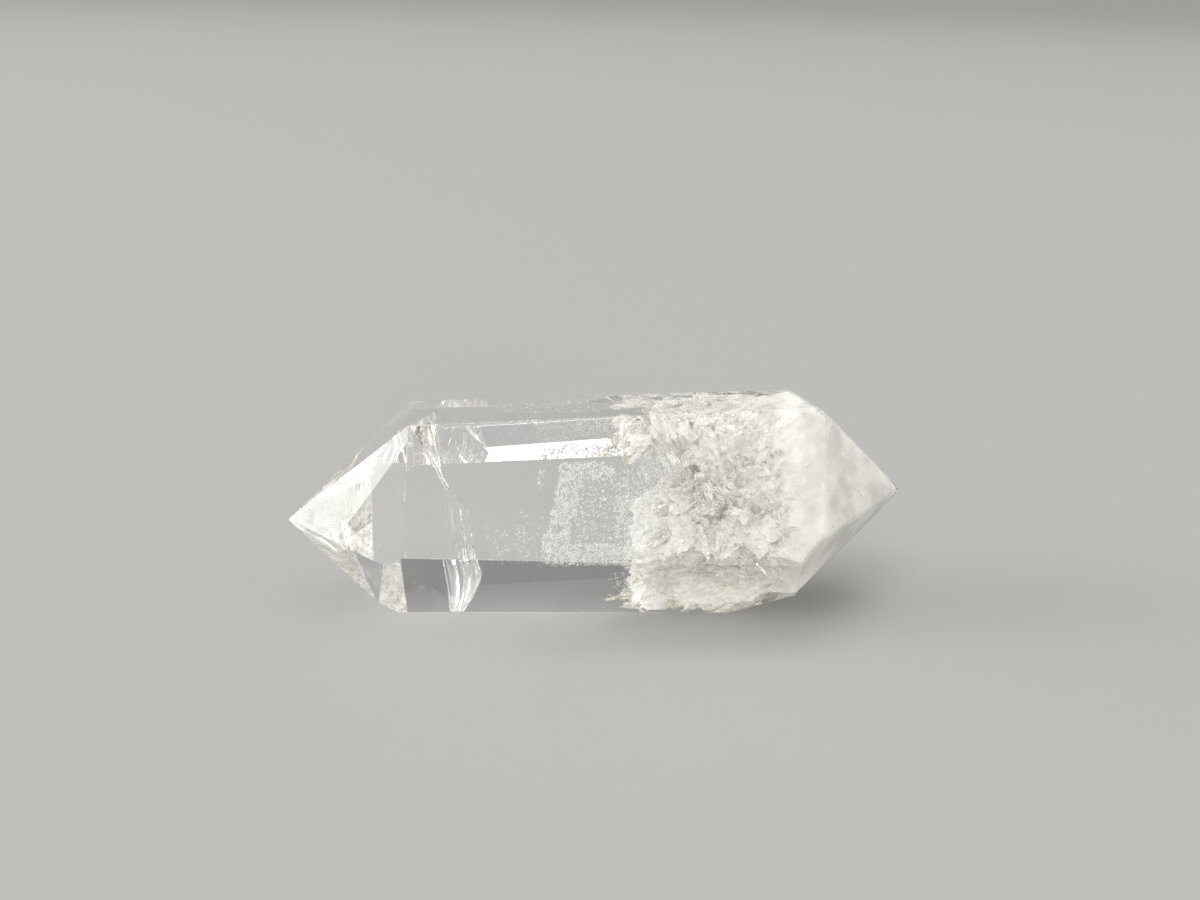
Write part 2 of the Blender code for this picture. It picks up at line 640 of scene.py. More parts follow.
def layered_noise(points: np.ndarray, layers: tuple[Triple, ...], seed: float) -> np.ndarray:
    """The sum of some smooth noises, given by the size, share and own seed of each."""
    return sum(share * soft_noise(points, size, seed + own) for size, share, own in layers)


def drift(points: np.ndarray, size: float, seed: float) -> np.ndarray:
    """A direction at each point that turns slowly from place to place."""
    return unit(np.stack([soft_noise(points, size, seed + 11.3 * k) for k in range(3)], axis=1) + 1e-6)


def shards(points: np.ndarray, size: float, seed: float) -> np.ndarray:
    """Relief of flat shards about size metres across, each tilted its own way, in metres."""
    heights = np.empty(len(points))
    shift = noise_shift(seed, (1.0, -0.7, 1.9))
    for index, point in enumerate(points):
        spot = Vector(point) / size + shift
        middle = noise.voronoi(spot)[1][0]
        tilt = noise.noise_vector(middle * 7.31)
        heights[index] = (spot - middle).dot(tilt.normalized()) * size
    return heights


@dataclass(frozen=True)
class CrossFracture:
    """The curved crack that stands across the clear end of the crystal, as a thin gap in the quartz.

    It runs from the front faces to the back ones. Each rim is a few places in mm, from the top down.
    """

    front_rim: tuple[Triple, ...] = (
        (-21.2, -3.2, 22.0),
        (-18.7, -5.7, 18.2),
        (-17.1, -7.0, 15.8),
        (-14.9, -8.0, 14.0),
        (-14.4, -8.7, 12.7),
        (-13.6, -10.4, 9.6),
        (-13.2, -8.7, 6.9),
        (-14.1, -6.2, 3.3),
        (-15.4, -4.1, 0.2),
    )
    back_rim: tuple[Triple, ...] = (
        (-18.3, 4.4, 22.0),
        (-18.1, 6.0, 19.4),
        (-18.1, 7.6, 16.4),
        (-18.2, 9.2, 13.4),
        (-18.1, 10.3, 11.0),
        (-17.9, 9.2, 9.0),
        (-17.6, 7.2, 5.2),
        (-17.3, 5.2, 1.9),
        (-17.2, 4.4, 0.2),
    )
    gap: float = 0.05 * MM
    margin: float = 0.08 * MM
    bow: float = 2.6  # how soon, from the front, it swings over to the side of its back rim
    cells_across: int = 160
    cells_down: int = 120
    # Waves from front to back, their height in mm, and their phase
    flutes: tuple[Triple, ...] = (
        (2.3, 0.16, 0.0),
        (5.7, 0.08, 1.9),
        (11.3, 0.032, 4.0),
        (19.0, 0.012, 0.7),
    )
    flute_lean: Triple = (0.97, 0.24, 0.0)  # direction of their height
    flute_sway: Pair = (1.2, 3.0)  # how far their phase sways from the top down, and how fast
    flute_rise: Triple = (4.0, 0.05, 1.0)  # how soon they grow from the top down, and their least and most
    flute_fade: Triple = (0.75, 1.6, 0.4)  # how far they fade to the back, how soon, and from where

    def make(self, form: CrystalForm) -> bpy.types.Object:
        """Model the gap.

        Args:
            form: the crystal that the gap stays inside.

        Returns:
            The gap, a closed thin skin whose faces point into it, away from the quartz.
        """
        cells = {"x_subdivisions": self.cells_across, "y_subdivisions": self.cells_down}
        bpy.ops.mesh.primitive_grid_add(size=1.0, **cells)
        crack = bpy.context.object
        crack.name = "cross_fracture"
        flat = coordinates(crack.data)
        across, down = flat[:, 0] + 0.5, 0.5 - flat[:, 1]
        front = smooth_path(np.array(self.front_rim), down)
        back = smooth_path(np.array(self.back_rim), down)
        shares = np.stack((1.0 - (1.0 - across) ** self.bow, across, across), axis=1)
        points = front + (back - front) * shares
        points += self.waves(across, down)[:, None] * np.array(self.flute_lean)
        set_coordinates(crack.data, form.hold_in(points * MM, self.margin))
        solid = crack.modifiers.new("gap", "SOLIDIFY")
        solid.thickness = self.gap
        solid.offset = 0.0
        apply_modifiers(crack)
        turn_faces(crack, Facing.INWARDS)
        return crack

    def waves(self, across: np.ndarray, down: np.ndarray) -> np.ndarray:
        """The flutes' height in mm, low at the top and towards the back."""
        wave = np.zeros(len(across))
        sway, speed = self.flute_sway
        for count, height, phase in self.flutes:
            turns = 2 * np.pi * count * across + sway * np.sin(speed * down + count)
            wave += height * np.sin(turns + phase)
        growth, least, most = self.flute_rise
        loss, pace, start = self.flute_fade
        rise = np.clip(down * growth, least, most)
        return wave * rise * (1.0 - loss * np.clip(pace * across - start, 0.0, 1.0))


class Scatter:
    """Many tiny closed pieces of one kind, gathered into one mesh."""

    LEAST_REACH = 0.6  # of a corner from its piece's middle, as a share of the piece's size

    def __init__(self, name: str, seed: int, ring: int = 6) -> None:
        """Start with nothing.

        Args:
            name: the object's name.
            seed: the seed of its random numbers.
            ring: the corners round each piece, which has one more above and one below.
        """
        self.name = name
        self.ring = ring
        self.random = np.random.default_rng(seed)
        self.corners: list[np.ndarray] = []

    def add(self, centres: np.ndarray, along: np.ndarray, flat: np.ndarray, sizes: np.ndarray) -> None:
        """Add one piece at each centre.

        Args:
            centres: the middles of the pieces, one row each.
            along: the direction of each piece's length.
            flat: the direction of each piece's thickness.
            sizes: half the length, width and thickness of each piece.
        """
        along = unit(along)
        side = unit(np.cross(flat, along))
        flat = np.cross(along, side)
        turns = np.arange(self.ring) * 2 * np.pi / self.ring
        reach = self.random.uniform(self.LEAST_REACH, 1.0, (len(centres), self.ring))
        ring_along = along[:, None] * (np.cos(turns) * reach * sizes[:, :1])[:, :, None]
        ring_side = side[:, None] * (np.sin(turns) * reach * sizes[:, 1:2])[:, :, None]
        ring = centres[:, None] + ring_along + ring_side
        lift = flat * sizes[:, 2:3]
        peaks = np.stack((centres + lift, centres - lift), axis=1)
        self.corners.append(np.concatenate((ring, peaks), axis=1))

    def add_at_random(self, centres: np.ndarray, along: np.ndarray, sizes: np.ndarray) -> None:
        """Add one piece at each centre, turned any way about its length."""
        self.add(centres, along, self.random.normal(size=centres.shape), sizes)

    def join(self, form: CrystalForm, margin: float) -> bpy.types.Object:
        """Join the pieces.

        Args:
            form: the crystal that they stay inside.
            margin: the least depth of a corner behind the crystal's faces; pieces nearer are left out.

        Returns:
            The joined pieces.
        """
        corners = np.concatenate(self.corners)
        inside = form.depth(corners.reshape(-1, 3)).reshape(corners.shape[:2]).min(axis=1) > margin
        corners = corners[inside]
        count = self.ring
        ring = np.arange(count)
        after = (ring + 1) % count
        upper = np.stack((ring, after, np.full(count, count)), axis=1)
        lower = np.stack((after, ring, np.full(count, count + 1)), axis=1)
        one = np.concatenate((upper, lower))
        faces = (one[None] + (np.arange(len(corners)) * (count + 2))[:, None, None]).reshape(-1, 3)
        piece = new_piece(self.name, corners.reshape(-1, 3), faces)
        piece.data.validate()
        return piece

    def make(self, form: CrystalForm, margin: float, finish: WhiteSpeck) -> bpy.types.Object:
        """Join the pieces and dress them in the finish."""
        piece = self.join(form, margin)
        dress(piece, finish.make())
        return piece


@dataclass(frozen=True)
class Haze:
    """A soft spot of the photograph where bubbles are thick: its middle and half widths in pixels."""

    middle: Pair
    reach: Pair
    strength: float
    steepness: float = 1.6  # of its rim

    def amount(self, pixels: np.ndarray) -> np.ndarray:
        """How thick the bubbles are at each pixel."""
        away = (pixels - np.array(self.middle)) / np.array(self.reach)
        return self.strength * np.clip(self.steepness * (1.0 - (away**4).sum(axis=1)), 0.0, 1.0)


@dataclass(frozen=True)
class BubbleVeil:
    """The veil of fine bubbles between the clear end and the cloud."""

    most: int = 26000
    tries: int = 104000
    seed: int = 5
    # The bubbles lie near a plane that leans back from the front edge to the top face.
    plane_point: Triple = (0.0, -9.6 * MM, 9.2 * MM)
    plane_normal: Triple = (0.0, -0.72, 0.69)
    thickness: float = 0.30 * MM
    bubble: float = 0.056 * MM  # usual half length
    bubble_spread: float = 0.40
    bubble_shapes: tuple[Triple, Triple] = ((0.9, 0.7, 0.6), (1.9, 1.1, 0.9))  # least and most
    clumps: tuple[Triple, ...] = ((0.60 * MM, 1.0, 3.0), (0.25 * MM, 0.8, 9.0))
    clumping: Pair = (0.55, 2.4)  # how thick they are on average, and how far the clumps change that
    margin: float = 0.06 * MM
    finish: WhiteSpeck = WhiteSpeck("white_bubble", metallic=0.0, roughness=0.3)
    top_left: Pair = (478.0, 392.0)
    bottom_right: Pair = (668.0, 572.0)
    hazes: tuple[Haze, ...] = (
        Haze((571.0, 478.0), (13.0, 16.0), 1.20),
        Haze((567.0, 500.0), (13.0, 18.0), 1.20),
        Haze((561.0, 522.0), (12.0, 18.0), 1.20),
        Haze((556.0, 543.0), (15.0, 13.0), 1.10),
        Haze((592.0, 471.0), (24.0, 10.0), 0.90),
        Haze((594.0, 553.0), (54.0, 10.0), 1.10),
        Haze((606.0, 512.0), (36.0, 44.0), 0.22),
        Haze((632.0, 520.0), (20.0, 46.0), 0.60),
        Haze((640.0, 480.0), (18.0, 16.0), 0.30),
        Haze((541.0, 477.0), (3.5, 15.0), 0.35),
        Haze((516.0, 545.0), (32.0, 16.0), 0.10),
        Haze((530.0, 527.0), (16.0, 18.0), 0.06),
        Haze((565.0, 564.0), (28.0, 5.0), 0.70),
        Haze((550.0, 408.0), (60.0, 5.0), 0.28),
        Haze((590.0, 404.0), (30.0, 8.0), 0.20),
    )

    def make(self, form: CrystalForm, view: CrystalView) -> bpy.types.Object:
        """Model the bubbles."""
        specks = Scatter("bubble_veil", self.seed, ring=4)
        random = specks.random
        pixels = random.uniform(self.top_left, self.bottom_right, (self.tries, 2))
        amount = np.max([haze.amount(pixels) for haze in self.hazes], axis=0)
        entries, directions = view.sights(pixels)
        normal = np.array(self.plane_normal)
        depths = ((np.array(self.plane_point) - entries) @ normal) / (directions @ normal)
        centres = entries + directions * depths[:, None]
        centres += normal * random.normal(0.0, self.thickness, len(centres))[:, None]
        average, change = self.clumping
        clumps = np.clip(average + change * layered_noise(centres, self.clumps, 0.0), 0.0, 1.0)
        amount = np.clip(amount * clumps, 0.0, 1.0)
        kept = (random.uniform(0.0, 1.0, len(pixels)) < amount) & (depths > 0.0)
        centres = centres[kept][: self.most]
        size = self.bubble * np.exp(random.normal(0.0, self.bubble_spread, len(centres)))
        sizes = size[:, None] * random.uniform(*self.bubble_shapes, (len(centres), 3))
        specks.add_at_random(centres, random.normal(size=centres.shape), sizes)
        return specks.make(form, self.margin, self.finish)


@dataclass(frozen=True)
class Pocket:
    """A clear place in the cloud: its middle and radius in mm."""

    middle: Triple
    radius: float


@dataclass(frozen=True)
class CloudLayer:
    """One crumpled skin of the white cloud, in mm."""

    name: str
    finish: MilkyFracture
    middle: Triple
    ends: Pair  # of its length
    margin: float  # least depth behind the crystal's faces
    tip_margin: float  # the same in the tip
    swell: float  # how far its large folds sink further in
    crumple: float  # height of its small creases
    shard_tilt: float  # how steeply its flat shards lie to one another
    seed: float
    detail: int = 7  # of the ball that it is crumpled from
    # Size, share and seed of the noises that fold and crease it
    folds: tuple[Triple, ...] = ((4.5 * MM, 1.0, 0.0), (2.0 * MM, 0.6, 5.0))
    creases: tuple[Triple, ...] = ((1.1 * MM, 1.0, 2.0), (0.5 * MM, 0.6, 3.0))
    fold_middle: float = 0.4
    fold_range: Pair = (0.0, 1.3)
    crease_range: Pair = (-0.8, 1.6)
    crease_slope: float = 2.4
    shard_sizes: Pair = (2.4 * MM, 1.1 * MM)

    def room(self, ways: np.ndarray, margin: float, form: CrystalForm) -> np.ndarray:
        """How far it is each way from the middle to a given depth behind the crystal's faces."""
        slopes = ways @ form.normals.T
        room = form.reaches - margin * MM - (np.array(self.middle) * MM) @ form.normals.T
        return np.where(slopes > 1e-6, room / np.maximum(slopes, 1e-6), np.inf).min(axis=1)

    def relief(self, points: np.ndarray) -> np.ndarray:
        """How far the folds, creases and shards sink in at each point, in mm."""
        folds = self.fold_middle + layered_noise(points, self.folds, self.seed)
        creases = np.zeros(len(points))
        for size, share, seed in self.creases:
            away = np.abs(soft_noise(points, size, self.seed + seed))
            creases += share * (1.0 - away * self.crease_slope)
        sink = self.swell * np.clip(folds, *self.fold_range)
        sink -= self.crumple * np.clip(creases, *self.crease_range)
        large, small = self.shard_sizes
        tilted = shards(points, large, self.seed) + shards(points, small, -self.seed)
        return sink - self.shard_tilt * tilted / MM


@dataclass(frozen=True)
class Cloud:
    """The white cloud of fractures in the right-hand half: crumpled skins, one inside the other."""

    layers: tuple[CloudLayer, ...] = (
        CloudLayer(
            "cloud_outer", MilkyFracture("milk_thin", cover=(0.50, 1.0), clear=(0.34, 0.48)),
            middle=(11.8, 0.2, 11.3), ends=(4.0, 40.0),
            margin=1.2, tip_margin=0.35, swell=1.5, crumple=0.15, shard_tilt=0.62, seed=1.0,
        ),
        CloudLayer(
            "cloud_inner", MilkyFracture("milk", cover=(1.0, 1.0), clear=(0.4, 0.5)),
            middle=(12.8, 0.2, 11.3), ends=(5.5, 27.0),
            margin=2.6, tip_margin=2.6, swell=1.8, crumple=0.20, shard_tilt=0.60, seed=7.0,
        ),
    )
    # The crumpled part ends here, and smooth milky quartz fills the tip, close to its faces.
    smooth_from: Pair = (18.8, 20.4)
    smoothing: float = 0.93  # how much of the relief is lost there
    hollow: float = 1.8  # how far its left end is set back at mid height
    hollow_spread: float = 0.35  # how soon that ends above and below, as a sine
    end_waves: Triple = (0.55, 0.35, 20.0)  # size, share and seed of the noise that its ends follow
    # The same for the noises that tatter the rims of its clear pockets
    tatters: tuple[Triple, ...] = ((0.10, 1.0, 30.0), (0.035, 0.6, 31.0))
    tatter_height: float = 0.30
    most_rise: float = 0.6  # most that a crease may rise above the skin, as a share of the margin
    least_reach: float = 1.5 * MM
    least_core: float = 1.2 * MM
    least_margin: float = 0.15 * MM
    # The clear window that leans back from the upper front face, which no fracture crosses
    window: tuple[Pocket, ...] = (
        Pocket((5.6, -6.0, 17.6), 2.6),
        Pocket((5.6, -3.6, 16.4), 2.6),
        Pocket((5.6, -1.2, 15.4), 2.6),
        Pocket((5.4, 1.2, 14.4), 2.6),
        Pocket((5.2, 3.6, 13.4), 2.6),
        Pocket((5.0, 6.0, 12.4), 2.6),
        Pocket((4.8, 8.4, 11.4), 2.6),
        Pocket((8.6, -5.4, 17.2), 1.7),
        Pocket((8.6, -3.0, 16.2), 1.6),
    )
    dents: tuple[Pocket, ...] = (
        Pocket((1.5, -7.0, 13.0), 2.2),
        Pocket((1.5, -4.0, 14.0), 2.4),
        Pocket((14.5, -5.8, 16.6), 0.8),
        Pocket((4.5, -8.4, 11.6), 2.3),
        Pocket((4.7, -5.8, 10.6), 2.2),
        Pocket((4.5, -8.9, 8.8), 1.5),
    )

    def smoothness(self, x: np.ndarray) -> np.ndarray:
        """0 in the crumpled part and 1 in the tip."""
        start, end = self.smooth_from
        share = np.clip((x / MM - start) / (end - start), 0.0, 1.0)
        return share**2 * (3.0 - 2.0 * share)

    def cut_ends(self, layer: CloudLayer, ways: np.ndarray, reach: np.ndarray) -> np.ndarray:
        """Cut a skin's reach at its wavy left and right ends."""
        waves = 1.0 + layered_noise(ways, (self.end_waves,), layer.seed)
        hollow = self.hollow * np.exp(-((ways[:, 2] / self.hollow_spread) ** 2))
        left, right = layer.ends
        for end, sign in ((left + hollow, -1.0), (right, 1.0)):
            toward = ways[:, 0] * sign
            along = sign * (end * MM - layer.middle[0] * MM) * waves
            reach = np.minimum(reach, np.where(toward > 1e-6, along / np.maximum(toward, 1e-6), np.inf))
        return reach

    def cut_pockets(self, layer: CloudLayer, ways: np.ndarray, reach: np.ndarray) -> np.ndarray:
        """Cut a skin's reach where it meets a clear pocket, with a tattered rim."""
        rough = 1.0 + self.tatter_height * layered_noise(ways, self.tatters, layer.seed)
        for pocket in self.window + self.dents:
            away = np.array(pocket.middle) * MM - np.array(layer.middle) * MM
            near = ways @ away
            bite = (pocket.radius * rough * MM) ** 2 - ((away @ away) - near**2)
            hit = (bite > 0) & (near > 0)
            reach = np.where(hit, np.minimum(reach, near - np.sqrt(np.maximum(bite, 0.0))), reach)
        return reach

    def skin(self, layer: CloudLayer, form: CrystalForm) -> bpy.types.Object:
        """Model one skin of the cloud."""
        bpy.ops.mesh.primitive_ico_sphere_add(subdivisions=layer.detail, radius=1.0)
        skin = bpy.context.object
        skin.name = layer.name
        ways = unit(coordinates(skin.data))
        middle = np.array(layer.middle) * MM
        reach = layer.room(ways, layer.margin, form)
        smooth = self.smoothness((middle + ways * reach[:, None])[:, 0])
        reach += smooth * (layer.room(ways, layer.tip_margin, form) - reach)
        reach = self.cut_pockets(layer, ways, self.cut_ends(layer, ways, reach))
        reach = np.maximum(reach, self.least_reach)
        sink = layer.relief(middle + ways * reach[:, None]) * (1.0 - self.smoothing * smooth)
        reach = np.maximum(reach - np.maximum(sink, -self.most_rise * layer.margin) * MM, self.least_core)
        set_coordinates(skin.data, form.hold_in(middle + ways * reach[:, None], self.least_margin))
        dress(skin, layer.finish.make())
        return skin

    def make(self, form: CrystalForm) -> list[bpy.types.Object]:
        """Model all skins."""
        return [self.skin(layer, form) for layer in self.layers]


@dataclass(frozen=True)
class FractureSheets:
    """Small fluted fractures, each a thin curved fan, that lie in and around the cloud, in mm."""

    name: str
    finish: StreakedFracture
    count: int
    seed: int
    box: tuple[Pair, Pair, Pair]
    depths: Pair  # least and most depth of their middles behind the faces
    lengths: Pair
    widths: Pair
    lift: Pair = (0.03, 0.09)  # height of their flutes
    root: float = 0.30  # width of a fan where it starts, as a share of its own
    growth: Pair = (0.5, 1.2)  # how it widens from there
    narrowing: Pair = (0.3, 0.9)  # at its far end
    # Waves of its sides and of its far end: how many at least and most, and their height
    notches: tuple[Triple, Triple] = ((4.0, 11.0, 0.22), (14.0, 24.0, 0.10))
    rags: tuple[Triple, Triple] = ((2.0, 5.0, 0.20), (8.0, 14.0, 0.10))
    bend: float = 0.5  # most that it curves along its length
    cup: float = 0.4  # and across
    # Its flutes: how many at least and most, and their share of the lift
    flutes: tuple[Triple, ...] = ((1.5, 3.5, 1.0), (4.0, 7.0, 0.6), (7.0, 11.0, 0.35))
    ripples: Triple = (6.0, 14.0, 0.4)  # the same for the ripples across them
    phases: Pair = (0.0, 6.0)
    map_spread: float = 500.0  # of the fans in their pattern, so that no two have the same streaks
    tilt: float = 0.7  # how far they turn away from the face that they are nearest to
    thickness: float = 0.015
    margin: float = 0.10
    cells: tuple[int, int] = (19, 15)  # along and across each

    def places(self, form: CrystalForm, random: np.random.Generator) -> np.ndarray:
        """Pick the middles of the fractures."""
        low, high = np.array(self.box).T
        found = np.empty((0, 3))
        while len(found) < self.count:
            tries = random.uniform(low, high, (4 * self.count, 3))
            depth = form.depth(tries * MM) / MM
            kept = (depth > self.depths[0]) & (depth < self.depths[1])
            for pocket in Cloud.window:
                kept &= np.linalg.norm(tries - pocket.middle, axis=1) > pocket.radius
            found = np.concatenate((found, tries[kept]))
        return found[: self.count]

    def make(self, form: CrystalForm) -> bpy.types.Object:
        """Model the fractures.

        Args:
            form: the crystal that they stay inside.

        Returns:
            One mesh of closed thin sheets, with their length and width in mm as its UV map.
        """
        random = np.random.default_rng(self.seed)
        centres = self.places(form, random)
        nearest = (form.reaches - (centres * MM) @ form.normals.T).argmin(axis=1)
        flat = unit(form.normals[nearest] + self.tilt * unit(random.normal(size=centres.shape)))
        along = drift(centres, 3.0, 4.0) + 0.4 * random.normal(size=centres.shape)
        side = unit(np.cross(flat, along))
        along = np.cross(side, flat)

        def pick(low: float, high: float) -> np.ndarray:
            """One random number for each sheet, shaped to spread over its grid."""
            return random.uniform(low, high, (self.count, 1, 1))

        u = np.linspace(0.0, 1.0, self.cells[0])[None, :, None]
        v = np.linspace(-1.0, 1.0, self.cells[1])[None, None, :]
        length, width = pick(*self.lengths), pick(*self.widths)
        spread = self.root + (1.0 - self.root) * u ** pick(*self.growth)
        spread = spread * (1.0 - pick(*self.narrowing) * u**5)
        (few, many, deep), (least, most, shallow) = self.notches
        notches = deep * np.sin(pick(few, many) * u + pick(*self.phases))
        spread = spread * (1.0 + notches + shallow * np.sin(pick(least, most) * u))
        ragged = 1.0
        for low, high, share in self.rags:
            ragged = ragged + share * np.sin(pick(low, high) * v + pick(*self.phases))
        run = (u - 0.5) * length * ragged
        reach = v * width * spread
        height = pick(-self.bend, self.bend) * (u - 0.5) ** 2 * length
        height = height + pick(-self.cup, self.cup) * v**2 * width
        for low, high, share in self.flutes:
            wave = np.sin(pick(low, high) * np.pi * v + pick(*self.phases) + pick(-2, 2) * u)
            height = height + share * pick(*self.lift) * wave * (0.25 + 0.75 * u)
        low, high, share = self.ripples
        height = height + share * pick(*self.lift) * np.sin(pick(low, high) * u + pick(-3, 3) * v)

        def corners(offset: float) -> np.ndarray:
            """The corners of all grids, set off by half the thickness."""
            parts = ((along, run), (side, reach), (flat, height + offset))
            moves = (way[:, None, None, :] * amount[..., None] for way, amount in parts)
            return sum(moves, centres[:, None, None, :])

        points = np.stack((corners(0.5 * self.thickness), corners(-0.5 * self.thickness)), axis=1)
        points = form.hold_in(points.reshape(-1, 3) * MM, self.margin * MM)
        spots = (u * length + pick(0.0, self.map_spread), v * width + pick(0.0, self.map_spread))
        return self.closed_sheets(points, np.stack(np.broadcast_arrays(*spots), axis=-1))

    def closed_sheets(self, points: np.ndarray, spots: np.ndarray) -> bpy.types.Object:
        """Make closed sheets of their two sides.

        Args:
            points: the corners of both sides of each sheet, one row each.
            spots: where each corner of one side is on its sheet, in mm.

        Returns:
            The sheets, as one mesh.
        """
        size = self.cells[0] * self.cells[1]
        index = np.arange(size).reshape(self.cells)
        cell = (index[:-1, :-1], index[1:, :-1], index[1:, 1:], index[:-1, 1:])
        top = np.stack(cell, axis=-1).reshape(-1, 4)
        rim = np.concatenate((index[:, 0], index[-1, 1:], index[-2::-1, -1], index[0, -2:0:-1]))
        after = np.roll(rim, -1)
        walls = np.stack((rim, rim + size, after + size, after), axis=1)
        one = np.concatenate((top, top[:, ::-1] + size, walls))
        faces = (one[None] + (np.arange(self.count) * 2 * size)[:, None, None]).reshape(-1, 4)
        sheets = new_piece(self.name, points, faces)
        spots = np.repeat(spots.reshape(self.count, 1, size, 2), 2, axis=1).reshape(-1, 2)
        loops = np.empty(len(sheets.data.loops), np.int32)
        sheets.data.loops.foreach_get("vertex_index", loops)
        sheet_map = sheets.data.uv_layers.new(name="sheet")
        sheet_map.data.foreach_set("uv", spots[loops].astype(np.float32).ravel())
        turn_faces(sheets, Facing.OUTWARDS)
        dress(sheets, self.finish.make())
        return sheets


@dataclass(frozen=True)
class CloudFlakes:
    """The splinters and plates that the cloud is crinkled with."""

    plates: int = 5500
    plate_sizes: tuple[Triple, Triple] = ((0.08, 0.06, 0.012), (0.30, 0.20, 0.03))  # least and most, in mm
    splinters: int = 9500
    splinter_sizes: tuple[Triple, Triple] = ((0.15, 0.02, 0.012), (0.80, 0.08, 0.04))
    bright_share: float = 0.15
    finish: WhiteSpeck = WhiteSpeck("white_flake", metallic=0.0, roughness=0.4)
    bright_finish: WhiteSpeck = WhiteSpeck("bright_flake", metallic=1.0, roughness=0.12)
    offsets: Pair = (-0.1, 0.5)  # from the skin, outwards, in mm
    # Size and seed of the drift that their lengths and their faces follow, and how far they stray from it
    lie: Triple = (2.2 * MM, 4.0, 0.35)
    face: Triple = (1.3 * MM, 40.0, 0.5)
    margin: float = 0.08 * MM
    seed: int = 21

    def make(self, skins: list[bpy.types.Object], form: CrystalForm) -> list[bpy.types.Object]:
        """Model the flakes on the cloud's skins.

        Args:
            skins: the cloud's skins.
            form: the crystal's faces.

        Returns:
            The matt flakes and the bright ones.
        """
        places = np.concatenate([coordinates(skin.data) for skin in skins])
        outward = unit(places - places.mean(axis=0))
        kinds = ((self.plates, self.plate_sizes), (self.splinters, self.splinter_sizes))
        made = []
        for name, share, finish in (
            ("cloud_flakes", 1.0 - self.bright_share, self.finish),
            ("cloud_sparks", self.bright_share, self.bright_finish),
        ):
            flakes = Scatter(name, self.seed + len(made))
            random = flakes.random
            for count, (least, most) in kinds:
                chosen = random.integers(0, len(places), int(count * share))
                lift = random.uniform(*self.offsets, (len(chosen), 1)) * MM
                centres = places[chosen] + outward[chosen] * lift
                lie, flat = (
                    drift(centres, size, seed) + stray * random.normal(size=centres.shape)
                    for size, seed, stray in (self.lie, self.face)
                )
                flakes.add(centres, lie, flat, random.uniform(least, most, (len(chosen), 3)) * MM)
            made.append(flakes.make(form, self.margin, finish))
        return made


@dataclass(frozen=True)
class Plume:
    """A spray of splinters that the photograph shows: its place and slant in pixels and degrees."""

    middle: Pair
    reach: Pair  # half width and height
    slant: float  # of the splinters, anticlockwise from the picture's right
    fan: float  # how far they differ from it
    count: int
    length: Pair  # half length in mm
    depth: Pair  # behind the face, in mm
    width: float = 0.025
    flatness: float = 0.6  # thickness over width
    width_range: Pair = (0.6, 1.5)
    stray: float = 0.35  # of their lie in depth

    def add(self, splinters: Scatter, view: CrystalView) -> None:
        """Add the splinters to a scatter."""
        random = splinters.random
        away = random.uniform(0.0, 2 * np.pi, self.count)
        out = np.sqrt(random.uniform(0.0, 1.0, self.count))
        spread = np.stack((np.cos(away), np.sin(away)), axis=1) * out[:, None] * self.reach
        pixels = np.array(self.middle) + spread
        slants = np.radians(self.slant + random.normal(0.0, self.fan, self.count))
        depths = random.uniform(*self.depth, self.count) * MM
        centres = view.points(pixels, depths)
        along = view.points(pixels + np.stack((np.cos(slants), -np.sin(slants)), axis=1), depths) - centres
        half = random.uniform(*self.length, self.count)
        wide = self.width * random.uniform(*self.width_range, self.count)
        sizes = np.stack((half, wide, self.flatness * wide), axis=1) * MM
        lie = unit(along) + self.stray * random.normal(size=centres.shape)
        splinters.add_at_random(centres, lie, sizes)


@dataclass(frozen=True)
class Seam:
    """A fine crinkled line that the photograph shows, through some of its pixels."""

    path: tuple[Pair, ...]
    depth: float  # behind the face, in mm
    count: int
    length: float = 0.10  # half length of its splinters, in mm
    width: float = 0.022
    spread: float = 0.03
    flatness: float = 0.6  # thickness over width
    size_range: Pair = (0.5, 1.3)
    stray: float = 0.3
    ahead: float = 0.02  # share of the line over which its direction is read

    def add(self, splinters: Scatter, view: CrystalView) -> None:
        """Add the splinters to a scatter."""
        random = splinters.random
        where = random.uniform(0.0, 1.0, self.count)
        path = np.array(self.path)
        pixels = smooth_path(path, where)
        ahead = smooth_path(path, where + self.ahead) - smooth_path(path, where - self.ahead)
        depths = np.full(self.count, self.depth * MM) + random.normal(0.0, self.spread * MM, self.count)
        centres = view.points(pixels, depths) + random.normal(0.0, self.spread * MM, (self.count, 3))
        along = view.points(pixels + ahead, depths) - view.points(pixels, depths)
        lie = unit(along) + self.stray * random.normal(size=centres.shape)
        size = np.array((self.length, self.width, self.flatness * self.width))
        splinters.add_at_random(centres, lie, size * random.uniform(*self.size_range, (self.count, 1)) * MM)


